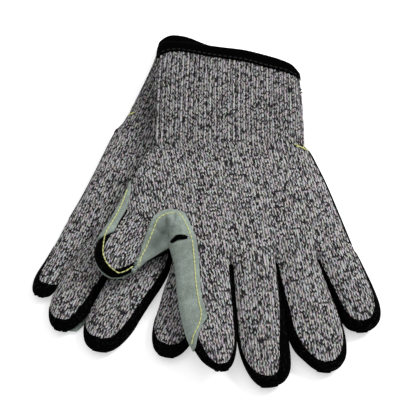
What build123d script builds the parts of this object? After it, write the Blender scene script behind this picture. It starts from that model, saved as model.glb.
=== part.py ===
from build123d import *
from math import atan2, cos, degrees, radians, sin, tan
import os

# A pair of cut resistant work gloves, laid down backs up with the left glove on the right one.
# Each glove is a knit liner with a rib cuff and a bound edge, dipped in a coating on its palm side,
# with split leather sewn over the palm, the thumb crotch, the index side and the digits' undersides.
# Every glove is a flattened hollow skin: its back is bare knit, its palm is coated knit, and the two
# meet along the dip line. Each digit folds on the hand at its root.
# Millimetres, +Z up. The fingers point to -Y. In a glove's own plan x runs towards its thumb and
# y from the wrist to the fingertips.

# Skin
wall = 1.6  # knit liner, bare or coated
leather = 1.2  # split leather patch
hollow = 6.4  # room left inside a glove that lies flat
fold_round = 3.2  # rounding of the glove's folded edges
binding_proud = 0.6  # how far the cuff's bound edge stands out of the rib
fold_gap = 0.3  # between a digit and the hand, and between the two gloves
patch_margin = 3.0  # from a digit's patch to the digit's edge
palm_margin = 4.0  # from the palm's patch to the hand's edge
crotch_margin = 3.2  # from the crotch's patch to the hand's edge

# Hand plan
wrist_thumb_half = 47.0
wrist_little_half = 46.0
mid_palm_half = 56.5
mid_palm_y = 42.0
knuckle_little_half = 62.0
knuckle_thumb_half = 50.0
knuckle_thumb_y = 86.0
ball_x, ball_y = 66.5, 24.0  # outermost point of the ball of the thumb
crotch_x, crotch_y = 46.3, 61.2  # where thumb and index part
web_radius = 5.0
dip_line = -0.6  # height of the dip line on the hand, from mid thickness
dip_tip_share = 0.85  # how far up the half thickness it has climbed at a digit's tip
saddle_radius = 19.0  # the leather over the crotch of thumb and index

# Cuff
cuff_length = 74.0
cuff_half = 45.5
binding_width = 8.0
tack_length, tack_width = 7.0, 1.6  # the thread tack that ends the wrist seam

# Digits, each by where its fold lies on the hand, its width, its free length and how much it leans
# towards the thumb's side
digits = {
    "thumb": {"x": 69.6, "y": 52.8, "width": 26.5, "length": 37.0, "lean": 33.7},
    "index": {"x": 34.6, "y": 92.2, "width": 27.6, "length": 64.0, "lean": -1.0},
    "middle": {"x": 1.6, "y": 92.9, "width": 26.4, "length": 75.2, "lean": 4.2},
    "ring": {"x": -26.0, "y": 94.0, "width": 25.6, "length": 70.0, "lean": -0.6},
    "little": {"x": -50.8, "y": 93.5, "width": 22.0, "length": 50.5, "lean": -5.7},
}
fingers = ["index", "middle", "ring", "little"]
strip_start, strip_stop = 4.0, 16.0  # the index side strip's ends, from the fold and from the tip

# How each glove lies: place of its wrist, turn of its fingers away from -Y, slope of its plane to the
# right and to the back, bend of its cuff towards the little finger, slant of the cuff's mouth, and how
# its digits droop and lean
gloves = {
    "right": {
        "side": -1,
        "x": -6.4,
        "y": 58.0,
        "z": 0.0,
        "turn": -18.5,
        "rise_x": 0.0,
        "rise_y": 0.0,
        "cuff_bend": 0.0,
        "mouth_slant": 0.0,
        "droop": {},
        "lean": {"index": -4.0, "middle": -4.2, "ring": -4.0, "little": -3.2},
    },
    "left": {
        "side": 1,
        "x": 13.9,
        "y": 42.0,
        "z": 14.8,
        "turn": 10.5,
        "rise_x": -0.04,
        "rise_y": 0.02,
        "cuff_bend": 12.0,
        "mouth_slant": 8.0,
        "droop": {"index": 2.5, "middle": 8.0, "ring": 8.0, "little": 11.0},
        "lean": {},
    },
}

shell = hollow + 2 * wall
half_shell = shell / 2
fold_height = leather + half_shell
open_end = 1.0  # how far a stall's room is cut on past its fold, so that the stall is open there
near = 0.01  # lengths this close count as equal
mostly = 0.9  # an edge whose direction has this share along an axis runs along it


def moved(base, x=0.0, y=0.0, z=0.0, about_x=0.0, about_z=0.0):
    """A plane set off from another, turned about its normal and then about its own X."""
    shift = Location((x, y, z))
    turn = Location((0, 0, 0), (0, 0, about_z))
    tip = Location((0, 0, 0), (about_x, 0, 0))
    return Plane(Location(base) * shift * turn * tip)


def glove_plane(lie):
    """The plane that a glove's leather lies on: origin at the wrist, Y to the fingertips."""
    normal = Vector(-lie["rise_x"], -lie["rise_y"], 1).normalized()
    ahead = Vector(sin(radians(lie["turn"])), -cos(radians(lie["turn"])), 0)
    along = (ahead - normal * ahead.dot(normal)).normalized()
    origin = Vector(lie["x"], lie["y"], lie["z"])
    return Plane(origin, x_dir=along.cross(normal), z_dir=normal)


def digit_lean(lie, name):
    """How much a digit leans towards the thumb's side in this glove, in degrees."""
    return lie["lean"].get(name, digits[name]["lean"])


def fold_plane(lie, name):
    """The digit's own frame: origin on its fold at mid thickness, Y along the digit."""
    digit = digits[name]
    side = lie["side"]
    return moved(
        glove_plane(lie),
        side * digit["x"],
        digit["y"],
        fold_height,
        about_x=-lie["droop"].get(name, 0.0),
        about_z=-side * digit_lean(lie, name),
    )


def root_height(lie, name, x):
    """How far up the hand its edge behind one finger lies, at a place across the hand."""
    digit = digits[name]
    lean = radians(digit_lean(lie, name))
    back = half_shell + fold_gap
    foot_x, foot_y = digit["x"] - back * sin(lean), digit["y"] - back * cos(lean)
    return foot_y - (x - foot_x) * tan(lean)


def finger_roots(lie):
    """Corners of the hand's edge behind the fingers, from the index side to the little side."""
    sides = []
    for name in fingers:
        half = digits[name]["width"] / 2
        sides.append((name, digits[name]["x"] + half, digits[name]["x"] - half))
    roots = [(sides[0][1], root_height(lie, "index", sides[0][1]))]
    for (name, _, low), (beside, high, _) in zip(sides, sides[1:]):
        middle = (low + high) / 2
        roots.append((middle, min(root_height(lie, name, middle), root_height(lie, beside, middle))))
    roots.append((sides[-1][2], root_height(lie, "little", sides[-1][2])))
    return roots


def thumb_fold_edge(lie):
    """The hand's edge behind the thumb, from the crotch to the outer side."""
    digit = digits["thumb"]
    lean = radians(digit_lean(lie, "thumb"))
    back = half_shell + fold_gap
    foot = (digit["x"] - back * sin(lean), digit["y"] - back * cos(lean))
    half = digit["width"] / 2
    inner = (foot[0] - half * cos(lean), foot[1] + half * sin(lean))
    outer = (foot[0] + half * cos(lean), foot[1] - half * sin(lean))
    return inner, outer


def hand_points(lie):
    """Corners of the hand in its own plan, from the wrist's thumb side round to its little side."""
    seam = tan(radians(lie["cuff_bend"] / 2))
    inner, outer = thumb_fold_edge(lie)
    roots = finger_roots(lie)
    return {
        "wrist_thumb": (wrist_thumb_half, -wrist_thumb_half * seam),
        "wrist_little": (-wrist_little_half, wrist_little_half * seam),
        "ball": (ball_x, ball_y),
        "thumb_outer": outer,
        "thumb_inner": inner,
        "crotch": (crotch_x, crotch_y),
        "index_root": (knuckle_thumb_half, knuckle_thumb_y),
        "roots": roots,
        "little_root": (-knuckle_little_half, roots[-1][1]),
        "mid_palm": (-mid_palm_half, mid_palm_y),
    }


def hand_outline(lie):
    """Edges of the hand's plan, mirrored for the right glove."""
    at = hand_points(lie)
    side = lie["side"]

    def mirrored(points):
        return [(side * x, y) for x, y in points]

    run = [at["wrist_little"], at["wrist_thumb"], at["ball"], at["thumb_outer"], at["thumb_inner"]]
    run += [at["crotch"], at["index_root"]] + at["roots"] + [at["little_root"]]
    Polyline(mirrored(run))
    ThreePointArc(*mirrored([at["little_root"], at["mid_palm"], at["wrist_little"]]))


def stall_outline(width, start, stop):
    """Edges of a digit's plan from its fold to its round tip."""
    half = width / 2
    shoulder = stop - half
    Polyline([(-half, shoulder), (-half, start), (half, start), (half, shoulder)])
    ThreePointArc((half, shoulder), (0, stop), (-half, shoulder))


def side_plane(frame):
    """Looks at a digit from its side: X along the digit, Y up."""
    return Plane(frame.origin, x_dir=frame.y_dir, z_dir=frame.x_dir)


def rims(part, frame):
    """The long edges between a flat skin's top or bottom and its side."""
    found = part.edges().filter_by(lambda edge: abs((edge @ 0 - edge @ 1).dot(frame.z_dir)) < near)
    levels = [half_shell, -half_shell]

    def on_face(edge):
        height = (edge.center() - frame.origin).dot(frame.z_dir)
        return any(abs(height - level) < near for level in levels)

    return found.filter_by(on_face)


def make_stall(lie, name):
    """A digit's whole skin: a flat tube with a round tip, and half a barrel at its fold."""
    digit = digits[name]
    frame = fold_plane(lie, name)
    width, length = digit["width"], digit["length"]
    with BuildPart() as stall:
        with BuildSketch(frame.offset(-half_shell)):
            with BuildLine():
                stall_outline(width, -half_shell, length)
            make_face()
        extrude(amount=shell)
        with BuildSketch(side_plane(frame)):
            Circle(half_shell)
            with Locations((length / 2, 0)):
                Rectangle(length, shell)
        extrude(amount=width, both=True, mode=Mode.INTERSECT)
        long_rims = rims(stall.part, frame)
        across_fold = long_rims.filter_by(
            lambda edge: edge.geom_type == GeomType.LINE
            and abs((edge % 0.5).dot(frame.x_dir)) > mostly
        )
        barrel_arcs = stall.edges().filter_by(
            lambda edge: edge.geom_type == GeomType.CIRCLE
            and abs(edge.radius - half_shell) < near
        )
        kept = [edge for edge in long_rims if edge not in across_fold]
        fillet(kept + list(barrel_arcs), fold_round)
        with BuildSketch(frame.offset(-half_shell + wall)):
            with BuildLine():
                stall_outline(width - 2 * wall, -half_shell - open_end, length - wall)
            make_face()
        extrude(amount=hollow, mode=Mode.SUBTRACT)
    return stall.part


def dip_plane(lie, name):
    """The dip line of a digit: low at the fold and up to the top at the tip."""
    frame = fold_plane(lie, name)
    run = digits[name]["length"] + half_shell
    climb = half_shell * dip_tip_share - dip_line
    return moved(frame, 0, -half_shell, dip_line, about_x=degrees(atan2(climb, run)))


def make_digit(lie, name):
    """Back, palm side and leather of one digit, and the index's side strip."""
    digit = digits[name]
    frame = fold_plane(lie, name)
    stall = make_stall(lie, name)
    dip = dip_plane(lie, name)
    width, length = digit["width"], digit["length"]
    pieces = {}
    with BuildPart() as back:
        add(stall)
        split(bisect_by=dip, keep=Keep.TOP)
    pieces[name + "_back"] = back.part
    with BuildPart() as palm:
        add(stall)
        split(bisect_by=dip, keep=Keep.BOTTOM)
    pieces[name + "_palm"] = palm.part
    with BuildPart() as patch:
        with BuildSketch(frame.offset(-half_shell - leather)):
            with BuildLine():
                stall_outline(width - 2 * patch_margin, half_shell, length - patch_margin)
            make_face()
        extrude(amount=leather)
    pieces[name + "_patch"] = patch.part
    if name == "index":
        flank = side_plane(frame).offset(lie["side"] * width / 2)
        strip_length = length - strip_stop - strip_start
        strip_height = shell - 2 * fold_round
        with BuildPart() as strip:
            with BuildSketch(flank):
                with Locations((strip_start + strip_length / 2, 0)):
                    SlotOverall(strip_length, strip_height)
            extrude(amount=lie["side"] * leather)
        pieces["index_strip"] = strip.part
    return pieces


def make_hand_skin(lie):
    """The hand's whole skin, open at the wrist and behind each digit."""
    base = moved(glove_plane(lie), z=fold_height)
    side = lie["side"]
    with BuildPart() as skin:
        with BuildSketch(base.offset(-half_shell)):
            with BuildLine():
                hand_outline(lie)
            make_face()
        extrude(amount=shell)
        fillet(rounded_rims(skin.part, base), fold_round)
        with BuildSketch(base.offset(-half_shell + wall)):
            with BuildLine():
                hand_outline(lie)
            make_face()
            offset(amount=-wall, kind=Kind.INTERSECTION, mode=Mode.REPLACE)
            for name in digits:
                digit = digits[name]
                throat = digit["width"] - 2 * wall
                reach = 2 * half_shell + web_radius
                lean = radians(digit_lean(lie, name))
                middle = (
                    side * (digit["x"] - reach / 2 * sin(lean)),
                    digit["y"] - reach / 2 * cos(lean),
                )
                with Locations(Location(middle + (0,), (0, 0, -side * degrees(lean)))):
                    Rectangle(throat, reach)
            wrist_angle = -side * lie["cuff_bend"] / 2
            wrist_middle = side * (wrist_thumb_half - wrist_little_half) / 2
            with Locations(Location((wrist_middle, 0, 0), (0, 0, wrist_angle))):
                Rectangle(wrist_thumb_half + wrist_little_half - 2 * wall, 4 * wall)
        extrude(amount=hollow, mode=Mode.SUBTRACT)
    return skin.part


def rounded_rims(part, base):
    """The hand's long rims along its two free sides: little side, ball, thumb and index side."""
    at_rim = rims(part, base)
    kept = []
    for edge in at_rim:
        across = abs((edge % 0.5).dot(base.x_dir))
        if across < mostly:
            kept.append(edge)
    return kept


def make_hand(lie):
    """Back and palm of the hand, and its leather on the palm and at the crotch."""
    base = moved(glove_plane(lie), z=fold_height)
    skin = make_hand_skin(lie)
    dip = base.offset(dip_line)
    side = lie["side"]
    pieces = {}
    with BuildPart() as back:
        add(skin)
        split(bisect_by=dip, keep=Keep.TOP)
    pieces["hand_back"] = back.part
    with BuildPart() as palm:
        add(skin)
        split(bisect_by=dip, keep=Keep.BOTTOM)
    pieces["hand_palm"] = palm.part
    with BuildPart() as patch:
        with BuildSketch(base.offset(-half_shell - leather)):
            with BuildLine():
                hand_outline(lie)
            make_face()
            offset(amount=-palm_margin, kind=Kind.INTERSECTION, mode=Mode.REPLACE)
        extrude(amount=leather)
    pieces["palm_patch"] = patch.part
    with BuildPart() as crotch:
        with BuildSketch(base.offset(half_shell)):
            with BuildLine():
                hand_outline(lie)
            make_face()
            offset(amount=-crotch_margin, kind=Kind.INTERSECTION, mode=Mode.REPLACE)
            with Locations((side * crotch_x, crotch_y)):
                Circle(saddle_radius, mode=Mode.INTERSECT)
        extrude(amount=leather)
    pieces["crotch_patch"] = crotch.part
    return pieces


def cuff_plane(lie):
    """The cuff's frame: origin at the wrist at mid thickness, Y back along the cuff."""
    base = moved(glove_plane(lie), z=fold_height)
    return moved(base, about_z=180 - lie["side"] * lie["cuff_bend"])


def cuff_outline(lie, start, stop, grow):
    """Edges of a stretch of cuff: it tapers from the wrist seam to the slanted, bound edge."""
    side = lie["side"]
    seam = tan(radians(lie["cuff_bend"] / 2))
    half = cuff_half + grow
    slant = half * tan(radians(lie["mouth_slant"]))
    if start == 0:
        low_thumb = (-side * wrist_thumb_half, -wrist_thumb_half * seam)
        low_little = (side * wrist_little_half, wrist_little_half * seam)
    else:
        low_thumb = (-side * half, start + slant)
        low_little = (side * half, start - slant)
    high_thumb = (-side * half, stop + slant)
    high_little = (side * half, stop - slant)
    Polyline([low_thumb, low_little, high_little, high_thumb], close=True)


def make_tube(lie, start, stop, grow):
    """A flat tube of cuff, open at both ends."""
    frame = cuff_plane(lie)
    with BuildPart() as tube:
        with BuildSketch(frame.offset(-half_shell - grow)):
            with BuildLine():
                cuff_outline(lie, start, stop, grow)
            make_face()
        extrude(amount=shell + 2 * grow)
        long_edges = tube.edges().filter_by(
            lambda edge: abs((edge % 0.5).dot(frame.y_dir)) > mostly
        )
        fillet(long_edges, fold_round)
        with BuildSketch(frame.offset(-half_shell + wall)):
            with Locations((0, (start + stop) / 2)):
                Rectangle(2 * (cuff_half - wall), stop - start + cuff_half)
        extrude(amount=hollow, mode=Mode.SUBTRACT)
    return tube.part


def make_cuff(lie):
    """Rib, bound edge, and the thread tack across the wrist seam on the little finger's side."""
    rib_stop = cuff_length - binding_width
    pieces = {"cuff_rib": make_tube(lie, 0, rib_stop, 0)}
    pieces["cuff_binding"] = make_tube(lie, rib_stop, cuff_length, binding_proud)
    base = moved(glove_plane(lie), z=fold_height + half_shell)
    tack_x = -lie["side"] * (wrist_little_half - fold_round - tack_length / 2 - tack_width)
    with BuildPart() as tack:
        with BuildSketch(base):
            with Locations((tack_x, 0)):
                SlotOverall(tack_length, tack_width)
        extrude(amount=tack_width / 2)
    pieces["wrist_tack"] = tack.part
    return pieces


def make_glove(lie):
    """Every piece of one glove, by its name without the hand."""
    pieces = make_cuff(lie)
    pieces.update(make_hand(lie))
    for name in digits:
        pieces.update(make_digit(lie, name))
    return pieces


made = {}
for hand, lie in gloves.items():
    for piece, solid in make_glove(lie).items():
        made[hand + "_" + piece] = solid

# The origin is the middle of the pair's footprint, on the surface that it lies on
boxes = [solid.bounding_box() for solid in made.values()]
middle_x = (min(box.min.X for box in boxes) + max(box.max.X for box in boxes)) / 2
middle_y = (min(box.min.Y for box in boxes) + max(box.max.Y for box in boxes)) / 2
lowest = min(box.min.Z for box in boxes)
to_origin = Location((-middle_x, -middle_y, -lowest))

os.makedirs("parts", exist_ok=True)
for label, solid in made.items():
    placed = solid.moved(to_origin)
    placed.label = label
    export_step(placed, "parts/" + label + ".step")
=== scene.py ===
"""A pair of cut resistant work gloves: knit skins, dipped palms, sewn leather and rib cuffs.

Every soft part is a thin shell worked out in its glove's own plan and carried into the frame of the
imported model. In a glove's plan x runs towards its thumb and y from the wrist to the fingertips, in
millimetres, and z stands on the sheet of leather that the glove lies on.
"""

import math

import bmesh
import bpy
import numpy as np
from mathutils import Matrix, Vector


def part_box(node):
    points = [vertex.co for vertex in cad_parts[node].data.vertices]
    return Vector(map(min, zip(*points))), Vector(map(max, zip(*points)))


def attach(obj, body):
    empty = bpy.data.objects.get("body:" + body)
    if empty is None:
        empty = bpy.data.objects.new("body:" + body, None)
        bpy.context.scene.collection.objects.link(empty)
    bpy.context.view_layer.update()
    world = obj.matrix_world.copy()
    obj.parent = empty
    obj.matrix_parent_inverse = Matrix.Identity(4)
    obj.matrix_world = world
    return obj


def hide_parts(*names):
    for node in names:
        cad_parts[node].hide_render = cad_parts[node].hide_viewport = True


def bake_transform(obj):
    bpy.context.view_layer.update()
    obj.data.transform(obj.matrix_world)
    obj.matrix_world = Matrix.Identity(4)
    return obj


bl_info = {
    "name": "Work gloves",
    "version": (1, 0, 0),
    "blender": (4, 5, 0),
    "location": "View3D > Sidebar > Gloves",
    "description": "Makes a pair of knitted, dipped and leather-sewn gloves around their frame",
    "category": "Add Mesh",
}

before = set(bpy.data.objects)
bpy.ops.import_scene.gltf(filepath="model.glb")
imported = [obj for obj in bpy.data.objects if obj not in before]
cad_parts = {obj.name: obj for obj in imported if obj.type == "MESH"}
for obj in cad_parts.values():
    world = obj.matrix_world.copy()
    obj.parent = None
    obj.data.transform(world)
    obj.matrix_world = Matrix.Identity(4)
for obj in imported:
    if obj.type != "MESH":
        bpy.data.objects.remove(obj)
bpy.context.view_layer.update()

MM = 0.001
MID = 6.0  # height of a glove's mid thickness over the sheet it lies on
HALF = 4.8  # half the thickness of a skin that lies flat
LEATHER = 1.2
COAT_STEP = 0.3  # how far the dipped coating stands over the bare knit
WALL = 1.3
ROUND = 10.5  # how far in from its edge a skin reaches its full thickness
BEND = 10.0  # half the length over which a digit bends at its fold
FAR = 32.0  # how far from the outline its distance is worked out
CROWN_REACH = 30.0  # how far in from its edge a glove reaches its full crown
TUCK = 0.9  # how far behind its fold a digit's start point lies, which is worked out and not used
BLEND_BACK = 6.5  # how far behind its fold a digit starts to follow its own body
TIP_ROUND = 8.0  # how far to either side of its tip a digit's outline is rounded
TIP_CHORD = 3.2  # half the chord that rounds it
CLUSTER = 0.7  # how much a digit's rows crowd towards its tip
TINY = 1e-6


# ---------------------------------------------------------------- curves and surfaces


def unit(vectors):
    """Vectors along the last axis, brought to length 1."""
    return vectors / np.maximum(np.linalg.norm(vectors, axis=-1, keepdims=True), 1e-9)


def lengths(points):
    """The length run along a line by each of its points."""
    steps = np.linalg.norm(np.diff(np.asarray(points), axis=0), axis=1)
    return np.concatenate([[0], np.cumsum(steps)])


def stand(xy, z):
    """Places in plan with their heights."""
    return np.concatenate([xy, np.broadcast_to(z, xy.shape[:-1])[..., None]], axis=-1)


def hermite(points, slope, knots, at):
    """Places on the cubics that run through points with given slopes: on each stretch of length s
    and at its share f, (2f^3 - 3f^2 + 1) a + (f^3 - 2f^2 + f) s a' + (3f^2 - 2f^3) b
    + (f^3 - f^2) s b', for the points a and b at its ends and their slopes a' and b'."""
    i = np.clip(np.searchsorted(knots, at, side="right") - 1, 0, len(points) - 2)
    span = (knots[i + 1] - knots[i])[:, None]
    f = (at - knots[i])[:, None] / span
    h00, h10 = 2 * f**3 - 3 * f**2 + 1, f**3 - 2 * f**2 + f
    h01, h11 = -2 * f**3 + 3 * f**2, f**3 - f**2
    return h00 * points[i] + h10 * span * slope[i] + h01 * points[i + 1] + h11 * span * slope[i + 1]


def catmull(points, count, cluster=0.0, after=None):
    """Points along a smooth curve through the given ones. A cluster above 0 crowds the far end, and
    the curve may run on towards one more point after its last."""
    t = np.linspace(0, 1, count)
    if cluster:
        t = 1 - (1 - t) ** (1 + cluster)
    return catmull_at(points, t, after)


def catmull_at(points, t, after=None):
    """The same curve at given shares of its length. Its slope at a point is the step between that
    point's neighbours over the length between them."""
    p = np.asarray(points, float)
    knots = lengths(p)
    slope = np.zeros_like(p)
    slope[1:-1] = (p[2:] - p[:-2]) / (knots[2:] - knots[:-2])[:, None]
    slope[0] = (p[1] - p[0]) / (knots[1] - knots[0])
    slope[-1] = (p[-1] - p[-2]) / (knots[-1] - knots[-2])
    if after is not None:
        slope[-1] = (after - p[-2]) / (knots[-1] - knots[-2] + np.linalg.norm(after - p[-1]))
    return hermite(p, slope, knots, np.clip(np.asarray(t, float), 0, 1) * knots[-1])


def catmull_by(points, knots, t):
    """A smooth curve through points at given values of its parameter."""
    p = np.asarray(points, float)
    return hermite(p, np.gradient(p, knots, axis=0), knots, t)


def smooth(value, low, high):
    """0 below low, 1 above high, and 3t^2 - 2t^3 between."""
    t = np.clip((value - low) / (high - low), 0, 1)
    return t * t * (3 - 2 * t)


def quarter(depth):
    """A quarter circle: 0 at no depth, and 1 at ROUND and deeper."""
    return np.sqrt(np.maximum(1 - (1 - np.clip(depth / ROUND, 0, 1)) ** 2, 0))


def grid_normals(points):
    """Unit normals of a grid: the cross product of its two central differences."""
    along = np.gradient(points, axis=0)
    across = np.gradient(points, axis=1)
    normal = np.cross(across, along)
    length = np.linalg.norm(normal, axis=2, keepdims=True)
    normal = np.where(length > 1e-9, normal / np.maximum(length, 1e-9), 0)
    # A pole's own differences vanish, so it takes the direction of the row beside it
    for row, beside in ((0, 1), (-1, -2)):
        flat = length[row, :, 0] < 1e-6
        if flat.any():
            mean = normal[beside].mean(axis=0)
            normal[row, flat] = mean / max(np.linalg.norm(mean), 1e-9)
    return normal


# ---------------------------------------------------------------- the two gloves

DIGIT_FOLDS = {  # x, y, lean towards the thumb's side
    "thumb": (69.6, 52.8, 33.7),
    "index": (34.6, 92.2, -1.0),
    "middle": (1.6, 92.9, 4.2),
    "ring": (-26.0, 94.0, -0.6),
    "little": (-50.8, 93.5, -5.7),
}
FINGERS = ["index", "middle", "ring", "little"]
CROTCH = (49.5, 66.0)
THUMB_SPLIT = (74.7, 32.0)
TACK, TACK_HALF = (-37.7, 0.0), 0.4  # middle of the wrist tack in plan, and half its height
WEB = [(51.6, 54.0), (53.4, 60.0), (58.5, 65.4), (65.0, 70.2), (72.0, 76.5)]

THUMB_OUTER = [
    THUMB_SPLIT, (82.0, 42.9), (91.4, 55.0), (96.0, 65.2), (94.8, 74.6), (90.2, 80.8),
    (84.2, 83.4),
]
THUMB_INNER = [
    CROTCH, (54.5, 68.0), (60.0, 70.6), (66.0, 73.8), (71.5, 77.6), (77.2, 81.2), (84.2, 83.4),
]

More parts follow.
